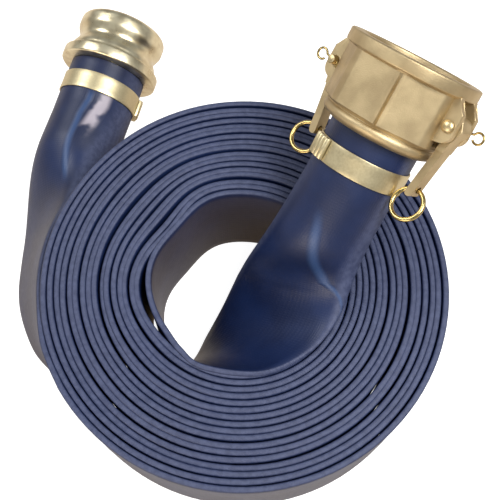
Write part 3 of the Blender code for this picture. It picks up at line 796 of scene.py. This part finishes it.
# %% Eight flats and the parting line
PARTING_ANGLE = -3 * pi / 8
PARTING_DEPTH = 1.1 * MM
for vert in bm.verts:
    radius = hypot(vert.co.x, vert.co.y)
    in_waist = -FLANGE_THICKNESS - 0.5 * MM > vert.co.z > COLLAR_TOP - 0.1 * MM
    if in_waist and radius > WAIST_CORNER - 1 * MM:
        angle = atan2(vert.co.y, vert.co.x)
        off_flat = (angle + pi / 8) % (pi / 4) - pi / 8
        scale = min(1, WAIST_FLAT / cos(off_flat) / WAIST_CORNER)
        if abs(angle - PARTING_ANGLE) < radians(0.5) and vert.co.z < -FLANGE_THICKNESS - 3 * MM:
            scale -= PARTING_DEPTH / WAIST_CORNER
        vert.co.x *= scale
        vert.co.y *= scale
bmesh.ops.triangulate(bm, faces=[face for face in bm.faces if len(face.verts) > 4])
coupler_body = finished("coupler_casting", bm, coupler, cast, node="coupler_body", sharp=28)
print("flat to flat", round(2 * WAIST_FLAT / MM, 1), "mm")

# %% Ears, slots and pin holes
ear = [(33.5 * MM, -6 * MM), (39.4 * MM, -6 * MM), (40 * MM, -9 * MM), (44.8 * MM, -14 * MM)]
ear += corner(PIVOT_RADIUS - 2.4 * MM, -25 * MM, 7 * MM, 0, -70, 10)
ear += [(33.5 * MM, -33.5 * MM)]
slot = [(25 * MM, -10.5 * MM), (50 * MM, -10.5 * MM), (50 * MM, -36 * MM), (25 * MM, -36 * MM)]
pivot_point = Vector((PIVOT_RADIUS, 0, -PIVOT_DEPTH))
drill_reach = Vector((0, EAR_FACE + 1 * MM, 0))
half_turn = Matrix.Rotation(pi, 4, "Z")
sides = {"right": coupler, "left": coupler @ half_turn}
steps = []
for place in sides.values():
    for near in (-1, 1):
        low, high = sorted((near * (SLOT_HALF_WIDTH - 0.1 * MM), near * EAR_FACE))
        steps.append(("UNION", plate(ear, low, high, 0.7 * MM), place))
    steps.append(("DIFFERENCE", plate(slot, -SLOT_HALF_WIDTH, SLOT_HALF_WIDTH), place))
    drill = rod(pivot_point - drill_reach, pivot_point + drill_reach, PIN_HOLE_RADIUS)
    steps.append(("DIFFERENCE", drill, place))
carve(coupler_body, steps, 28)
print("coupler body", len(coupler_body.data.polygons), "faces")

# %% [markdown]
# ## Gasket
#
# A moulded nitrile ring sits in a pocket at the bottom of the socket and stands a little proud.  A
# torus would be too round for it, so a rectangle with rounded corners is turned.

# %% Gasket
top = -SOCKET_DEPTH - 0.3 * MM
foot = top - 6.35 * MM
gasket_out, gasket_in, bead = 33.3 * MM, 25.4 * MM, 1.0 * MM
profile = corner(gasket_out - bead, top - bead, bead, 90, 0)
profile += corner(gasket_out - bead, foot + bead, bead, 0, -90)
profile += corner(gasket_in + bead, foot + bead, bead, -90, -180)
profile += corner(gasket_in + bead, top - bead, bead, 180, 90)
gasket = finished("gasket_ring", turned(profile), coupler, rubber, node="coupler_gasket")
print("gasket", len(gasket.data.polygons), "faces")

# %% [markdown]
# ## Cam arms
#
# Each arm is one casting: a thick cam round the pivot hole and a flat handle with a hole near its
# tip for the pull ring.  The cam is wide, the handle a little narrower.  The arm is flat on both
# sides, so its outline is drawn once and given a thickness, then the handle's sides are cut back.

# %% Cam arms
ARM_HALF_WIDTH = 5.9 * MM
HANDLE_HALF_WIDTH = 4.7 * MM
CAM_LOBE = 13.2 * MM
CAM_HEEL = 6.7 * MM
HANDLE_LENGTH = 43.5 * MM
HANDLE_THICKNESS = 4.6 * MM


def smooth_step(value):
    """0 below 0, 1 above 1 and smooth between them."""
    value = min(max(value, 0), 1)
    return value * value * (3 - 2 * value)


def cam_reach(angle):
    """Reach of the cam from its pivot at an angle from the coupler's axis, positive towards the mouth."""
    rise = smooth_step((angle + radians(62)) / radians(40))
    fall = smooth_step((angle - radians(12)) / radians(58))
    return CAM_HEEL + (CAM_LOBE - CAM_HEEL) * rise * (1 - fall)


def handle_middle(run):
    """How far the handle's middle line lies from the pivot's plane, a run down from the pivot."""
    share = run / HANDLE_LENGTH
    return 2.5 * MM - 6.5 * MM * share * (1.25 - 0.25 * share)


def arm_outline():
    """The arm seen from its side, as (x, z) points about its pivot."""
    outline = []
    for step in range(-55, 131, 5):
        angle = radians(step)
        reach = cam_reach(angle)
        outline.append((-reach * cos(angle), reach * sin(angle)))
    outline.append((CAM_HEEL, 0))
    half = HANDLE_THICKNESS / 2
    downs = [HANDLE_LENGTH * k / 16 for k in range(2, 16)]
    outline += [(handle_middle(down) + half, -down) for down in downs]
    tip = handle_middle(HANDLE_LENGTH)
    outline += [(tip + half * 0.8, 0.8 * MM - HANDLE_LENGTH), (tip + half * 0.35, 0.1 * MM - HANDLE_LENGTH),
                (tip - half * 0.35, 0.1 * MM - HANDLE_LENGTH), (tip - half * 0.8, 0.8 * MM - HANDLE_LENGTH)]
    outline += [(handle_middle(down) - half, -down) for down in reversed(downs[1:])]
    return outline


ring_run = HANDLE_LENGTH - 4.5 * MM
ring_hole = Vector((handle_middle(ring_run), 0, -ring_run))
RING_LEAN = radians(12)
ring_through = Vector((cos(RING_LEAN), 0, sin(RING_LEAN))) * 8 * MM
waist = [(-12 * MM, -14 * MM), (12 * MM, -14 * MM), (12 * MM, -70 * MM), (-12 * MM, -70 * MM)]
pin_reach = Vector((0, 10 * MM, 0))
arm_pivots = {}
for side, place in sides.items():
    pivot = place @ Matrix.Translation(pivot_point)
    bm = plate(arm_outline(), -ARM_HALF_WIDTH, ARM_HALF_WIDTH, 0.8 * MM)
    arm = finished(f"{side}_arm", bm, pivot, cast, f"arm_{side}", f"cam_arm_{side}", 30)
    steps = [("DIFFERENCE", rod(-pin_reach, pin_reach, PIN_HOLE_RADIUS), pivot)]
    for near in (-1, 1):
        low, high = sorted((near * HANDLE_HALF_WIDTH, near * (ARM_HALF_WIDTH + 5 * MM)))
        steps.append(("DIFFERENCE", plate(waist, low, high), pivot))
    steps.append(("DIFFERENCE", rod(ring_hole - ring_through, ring_hole + ring_through, 2 * MM), pivot))
    carve(arm, steps, 30)
    arm_pivots[side] = pivot
    print(arm.name, len(arm.data.polygons), "faces")

# %% [markdown]
# ## Pull rings, pins and cotters
#
# The rings are bent from plated wire and butt closed.  Each pivot pin has a small domed head and is
# kept by a split pin whose wire eye stands outside the ear.  A curve with a round bevel could make
# the wires; circles lofted along a path give the same tube as a plain mesh with closed ends.

# %% Rings
RING_RADIUS = 9.2 * MM
RING_WIRE = 1.35 * MM
RING_DROOP = radians(20)
for side, sign in (("right", 1), ("left", -1)):
    tilt = Matrix.Rotation(-RING_LEAN, 4, "Y") @ Matrix.Rotation(-sign * RING_DROOP, 4, "X")
    hinge = arm_pivots[side] @ Matrix.Translation(ring_hole) @ tilt
    rings = []
    for i in range(96):
        angle = 2 * pi * i / 96
        outward = Vector((cos(angle), 0, sin(angle)))
        middle = Vector((0, 0, -RING_RADIUS)) + outward * RING_RADIUS
        rings.append([middle + (outward * cos(t) + Vector((0, 1, 0)) * sin(t)) * RING_WIRE
                      for t in (2 * pi * k / 20 for k in range(20))])
    finished(f"{side}_ring", lofted(rings, True), hinge, wire_finish, f"ring_{side}",
             f"pull_ring_{side}")
print("ring", round(2 * (RING_RADIUS + RING_WIRE) / MM, 1), "mm across outside")

# %% Pins and cotters
PIN_RADIUS = 2.6 * MM
PIN_HEAD_RADIUS = 3.4 * MM
COTTER_RADIUS = 0.7 * MM
EYE_REACH = 8.4 * MM
EYE_RADIUS = 3.2 * MM
COTTER_LEG = ((-3.6, -3.4), (-3.6, -1.2), (-3.0, 0), (-1.2, 0), (1, 0))
head_face = EAR_FACE + 0.3 * MM
cotter_plane = EAR_FACE + 1.6 * MM
for side, place in sides.items():
    outline = [(0.01 * MM, -head_face - 2.2 * MM), (PIN_HEAD_RADIUS - 1.4 * MM, -head_face - 2.0 * MM),
               (PIN_HEAD_RADIUS - 0.5 * MM, -head_face - 1.5 * MM), (PIN_HEAD_RADIUS, -head_face - 0.8 * MM),
               (PIN_HEAD_RADIUS, -head_face), (PIN_RADIUS, -head_face), (PIN_RADIUS, head_face + 3.2 * MM),
               (PIN_RADIUS - 0.4 * MM, head_face + 3.9 * MM), (0.01 * MM, head_face + 4.2 * MM)]
    lying = place @ Matrix.Translation(pivot_point) @ Matrix.Rotation(-pi / 2, 4, "X")
    bm = turned(outline, 48)
    finished(f"{side}_pin", bm, lying, pin_finish, node=f"pivot_pin_{side}")
    middle = pivot_point + Vector((0, cotter_plane, 0))
    eye = middle + Vector((EYE_REACH, 0, 0))
    path = [middle + Vector((x, 0, z)) * MM for x, z in COTTER_LEG]
    for k in range(41):
        angle = pi + radians(18 + 305 * k / 40)
        path.append(eye + Vector((cos(angle), 0, -sin(angle))) * EYE_RADIUS)
    rings = []
    for i, point in enumerate(path):
        tangent = (path[min(i + 1, len(path) - 1)] - path[max(i - 1, 0)]).normalized()
        normal = Vector((0, 1, 0)).cross(tangent).normalized()
        rings.append([point + (normal * cos(t) + Vector((0, 1, 0)) * sin(t)) * COTTER_RADIUS
                      for t in (2 * pi * k / 12 for k in range(12))])
    finished(f"{side}_cotter", lofted(rings), place, wire_finish, node=f"pin_cotter_{side}")
print("pin", round((2 * head_face + 6.4 * MM) / MM, 1), "mm long")

# %% [markdown]
# ## The adapter
#
# The male half is turned from a casting and polished: a plain nose, a shallow round groove that the
# cams bite into, a collar that stops the hose, and the same serrated shank.  Everything on it is
# round, so one turned profile is the whole piece, and the groove is half a cosine wave in that line.

# %% Adapter body
NOSE_RADIUS = 31.4 * MM
GROOVE_DEPTH = 3.0 * MM
GROOVE_MIDDLE = -18 * MM
GROOVE_HALF = 8.7 * MM
STOP_RADIUS = 35 * MM
STOP_START = -29 * MM
ADAPTER_LENGTH = 37 * MM
profile = corner(NOSE_RADIUS - 5 * MM, -5 * MM, 5 * MM, 90, 0, 10)
for k in range(21):
    run_share = -1 + k / 10
    dip = GROOVE_DEPTH * (1 + cos(pi * run_share)) / 2
    profile.append((NOSE_RADIUS - dip, GROOVE_MIDDLE - run_share * GROOVE_HALF))
profile += [(NOSE_RADIUS, STOP_START + 1.2 * MM), (NOSE_RADIUS + 0.6 * MM, STOP_START + 0.2 * MM)]
profile += corner(STOP_RADIUS - 1.4 * MM, STOP_START - 1.4 * MM, 1.4 * MM, 90, 0)
profile += corner(STOP_RADIUS - 1.4 * MM, 1.4 * MM - ADAPTER_LENGTH, 1.4 * MM, 0, -90)
profile += [(SHANK_RADIUS, -ADAPTER_LENGTH)] + shank_profile(-ADAPTER_LENGTH, -ADAPTER_LENGTH - SHANK)
profile += [(BORE_RADIUS, -ADAPTER_LENGTH - SHANK), (BORE_RADIUS, -12 * MM), (BORE_RADIUS + 1 * MM, -3 * MM),
            (BORE_RADIUS + 2 * MM, 0)]
adapter_body = finished("adapter_casting", turned(profile), adapter, polished,
                        node="adapter_body")
print("adapter body", len(adapter_body.data.polygons), "faces")

# %% [markdown]
# ## Band clamps
#
# Each hose end is held by a steel band that is pulled tight and locked by a small crimped buckle.
# The buckle's ridges come from the crimping tool.  The band is turned like the other round parts;
# the buckle is a short run of cross-sections round the same axis, lifted higher at each ridge.

# %% Bands and buckles
BAND_WIDTH = 13 * MM
BAND_THICKNESS = 0.8 * MM
BAND_OFFSET = 11 * MM
BUCKLE_HALF_ANGLE = radians(15)
BUCKLE_STEPS = 96


def clamp(word, fitting, near, middle_angle):
    """A band whose near edge is at a height in a fitting's frame, and its buckle at an angle."""
    inner = HOSE_RADIUS + 0.3 * MM
    outer = inner + BAND_THICKNESS
    rim = 0.35 * MM
    dished = outer - 0.12 * MM
    outline = corner(outer - rim, near - rim, rim, 90, 0, 3) + [(dished, near - 3 * MM)]
    outline += [(dished, near - BAND_WIDTH + 3 * MM)]
    outline += corner(outer - rim, near - BAND_WIDTH + rim, rim, 0, -90, 3)
    outline += [(inner, near - BAND_WIDTH), (inner, near)]
    finished(f"{word}_clamp_band", turned(outline), fitting, band_finish, node=f"{word}_band")
    rows = []
    foot_radius = outer + 0.3 * MM
    low, high = near - BAND_WIDTH + 0.4 * MM, near - 0.4 * MM
    for i in range(BUCKLE_STEPS + 1):
        share = i / BUCKLE_STEPS
        angle = middle_angle + (2 * share - 1) * BUCKLE_HALF_ANGLE
        lift = min(1.0 + 1.5 * abs(sin(pi * 4 * share)) ** 0.7, 0.4 + 60 * min(share, 1 - share)) * MM
        edge = 0.5 * MM
        top_radius = foot_radius + lift
        section = ((foot_radius, low), (top_radius - edge * 0.6, low), (top_radius, low + edge),
                   (top_radius, high - edge), (top_radius - edge * 0.6, high), (foot_radius, high))
        rows.append([Vector((radius * cos(angle), radius * sin(angle), z)) for radius, z in section])
    finished(f"{word}_clamp_buckle", lofted(rows), fitting, band_finish,
             node=f"{word}_band_buckle", sharp=50)


clamp("coupler", coupler, -BODY_LENGTH - BAND_OFFSET, radians(-122))
clamp("adapter", adapter, -ADAPTER_LENGTH - BAND_OFFSET, radians(20))
print("bands", round(BAND_WIDTH / MM, 1), "mm wide")

# %% [markdown]
# ## Floor and light
#
# A plain pale floor with a large soft light over the right side and weaker ones at the left and
# front.  A floor lit only by lamps turns grey towards its rim, so it also glows: white to the eye,
# but a warm dim tone to everything that it lights, so that the brass is not washed out.

# %% Floor
FLOOR_REACH = 14.0
FLOOR_DROP = 0.4 * MM
floor_mesh = bpy.data.meshes.new("floor")
corners = [(x * FLOOR_REACH, y * FLOOR_REACH, -FLOOR_DROP) for x, y in ((-1, -1), (1, -1), (1, 1), (-1, 1))]
floor_mesh.from_pydata(corners, [], [(0, 1, 2, 3)])
floor = bpy.data.objects.new("floor", floor_mesh)
bpy.context.scene.collection.objects.link(floor)
floor_finish = Finish("floor", (0.45, 0.45, 0.45), 0.9, Specular_IOR_Level=0.1)
seen = floor_finish.node("ShaderNodeLightPath", output="Is Camera Ray")
LIT_TONE, SEEN_TONE = (0.34, 0.24, 0.15), (1.0, 1.0, 1.0)
floor_finish.drive(Emission_Color=floor_finish.mix(seen, LIT_TONE, SEEN_TONE))
floor_finish.shader.inputs["Emission Strength"].default_value = 0.95
floor_mesh.materials.append(floor_finish.material)
print("floor", 2 * FLOOR_REACH, "m wide")

# %% Lights
LIGHT_AIM = Vector((0, 0, 0.05))
world = bpy.data.worlds.new("studio")
bpy.context.scene.world = world
world.use_nodes = True
sky = world.node_tree.nodes["Background"]
sky.inputs["Color"].default_value = (0.9, 0.95, 1, 1)
sky.inputs["Strength"].default_value = 0.35


def softbox(name, place, size, power, colour=(1, 1, 1)):
    """A rectangular lamp that looks at the coil."""
    light = bpy.data.lights.new(name, "AREA")
    light.shape = "RECTANGLE"
    light.size, light.size_y = size
    light.energy = power
    light.color = colour
    box = bpy.data.objects.new(name, light)
    box.location = place
    box.rotation_euler = (LIGHT_AIM - Vector(place)).to_track_quat("-Z", "Y").to_euler()
    bpy.context.scene.collection.objects.link(box)


WARM = (1.0, 0.88, 0.74)
softbox("key", (0.55, -0.25, 1.3), (0.6, 0.6), 20)
softbox("fill", (-0.9, 0.5, 1.1), (0.5, 0.5), 7)
softbox("front", (-0.7, -1.1, 0.45), (1.0, 0.5), 9, WARM)
bpy.context.scene.view_settings.view_transform = "Standard"
